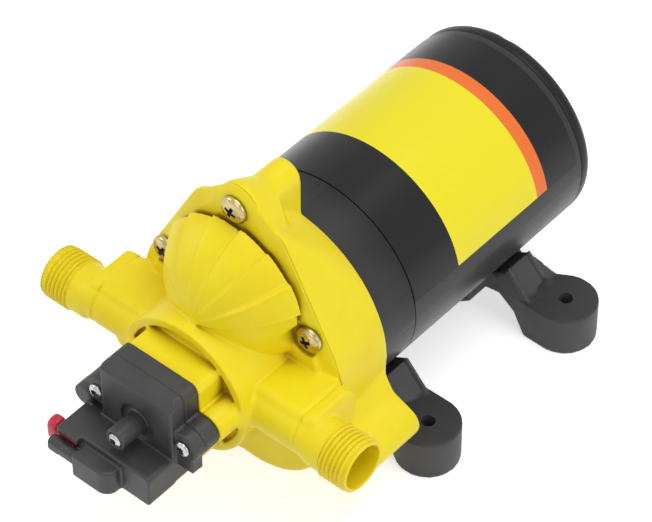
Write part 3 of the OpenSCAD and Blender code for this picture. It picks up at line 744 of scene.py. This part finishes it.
def slottedScrew(look, form):
    r, h = look["headR"] * mm, look["headH"] * mm
    profile = screwProfile(r, h, look["shankR"] * mm, look["length"] * mm, form)
    body = addPiece("screwBody", latheMesh(profile, form["sides"]))
    reach, width = r * look["reach"], r * look["slot"]
    front, depth = -h * form["toolFront"], h * look["deep"]
    tool = addPiece("screwTool", crossCutter(reach, width, front, depth, form["toolTaper"]))
    body.data.materials.append(paintOf[look["node"]])
    # painted shade: the cut slot faces take a near-black finish
    tool.data.materials.append(paints["paintedSlotShade"])
    cut = body.modifiers.new("slot", "BOOLEAN")
    cut.material_mode = "TRANSFER"
    cut.operation = "DIFFERENCE"
    cut.solver = "EXACT"
    cut.object = tool
    soft = body.modifiers.new("soft", "BEVEL")
    soft.width = form["bevel"] * r
    soft.segments = form["bevelSteps"]
    soft.limit_method = "ANGLE"
    soft.angle_limit = math.radians(form["bevelAngle"])
    bakeModifiers(body)
    single = body.data
    bpy.data.objects.remove(body)
    bpy.data.objects.remove(tool)
    return single


def screwPiece(look, form):
    single = slottedScrew(look, form)
    faced = list(single.materials)
    work = bmesh.new()
    for x, y, z, twist in look["places"]:
        turned = single.copy()
        spin = Matrix.Rotation(math.radians(twist), 4, "Y")
        turned.transform(Matrix.Translation((x * mm, y * mm, (axisZ + z) * mm)) @ spin)
        work.from_mesh(turned)
        bpy.data.meshes.remove(turned)
    mesh = bpy.data.meshes.new(look["piece"])
    work.to_mesh(mesh)
    work.free()
    bpy.data.meshes.remove(single)
    smoothFaces(mesh, form["sharp"])
    for paint in faced:
        mesh.materials.append(paint)
    piece = addPiece(look["piece"], mesh)
    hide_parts(look["node"])
    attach(piece, bodyOf[look["node"]])


screwSets = [  # places: x, y, height over the motor axis, twist in degrees
    {"node": "head_screws", "piece": "headScrews", "headR": 5.4, "headH": 3.0, "shankR": 2.0,
     "length": 22.0, "slot": 0.15, "reach": 0.52, "deep": -0.12,
     "places": [(0, -79.12, 65, 20), (54.6, -79.12, -23.1, 48), (-54.6, -79.12, -23.1, 10),
                (33, -79.12, 24, 65), (-33, -79.12, 24, 30), (0, -79.12, -39.4, 5)]},
    {"node": "switch_screws", "piece": "switchScrews", "headR": 3.0, "headH": 1.8, "shankR": 1.5,
     "length": 15.0, "slot": 0.3, "reach": 0.5, "deep": 0.4,
     "places": [(20, -129.72, 1.5, 35), (-20, -129.72, 1.5, 15)]},
    {"node": "adjust_screw", "piece": "adjustScrew", "headR": 2.7, "headH": 1.6, "shankR": 1.93,
     "length": 15.6, "slot": 0.3, "reach": 0.5, "deep": 0.4,
     "places": [(0, -141.76, 1.5, 50)]},
]
for screwSet in screwSets:
    screwPiece(screwSet, screwForm)
print("screws ready")


# coil of the pressure switch, made in two halves

switchCoil = {"node": "switch_spring", "up": 1.5, "coilR": 3.8, "wireR": 0.45, "turns": 4.5,
              "front": -126.65, "rear": -120.2, "steps": 36, "sides": 10, "sharp": 50.0}


def coilHalf(look, piece, first, last):
    points, faces = [], []
    middle = Vector((0.0, 0.0, (axisZ + look["up"]) * mm))
    low, high = look["front"] + look["wireR"], look["rear"] - look["wireR"]
    count = int(look["steps"] * look["turns"] * (last - first))
    sides = look["sides"]
    for i in range(count + 1):
        t = first + (last - first) * i / count
        a = 2 * math.pi * look["turns"] * t
        out = Vector((math.cos(a), 0.0, math.sin(a)))
        forward = Vector((0.0, (low + (high - low) * t) * mm, 0.0))
        centre = middle + out * look["coilR"] * mm + forward
        for k in range(sides):
            b = 2 * math.pi * k / sides
            ray = out * math.cos(b) + Vector((0.0, math.sin(b), 0.0))
            points.append(centre + ray * look["wireR"] * mm)
    for i in range(count):
        for k in range(sides):
            n = (k + 1) % sides
            near, far = i * sides, (i + 1) * sides
            faces.append((near + k, near + n, far + n, far + k))
    total = len(points)
    faces += [tuple(range(sides)), tuple(range(total - 1, total - sides - 1, -1))]
    mesh = closedMesh(piece, points, faces)
    smoothFaces(mesh, look["sharp"])
    wire = addPiece(piece, mesh)
    dress(wire, paintOf[look["node"]])
    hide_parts(look["node"])
    return wire


coilFront = coilHalf(switchCoil, "coilFront", 0.0, 0.5)
coilRear = coilHalf(switchCoil, "coilRear", 0.5, 1.0)
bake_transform(coilFront)
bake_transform(coilRear)
print("switch coil ready")
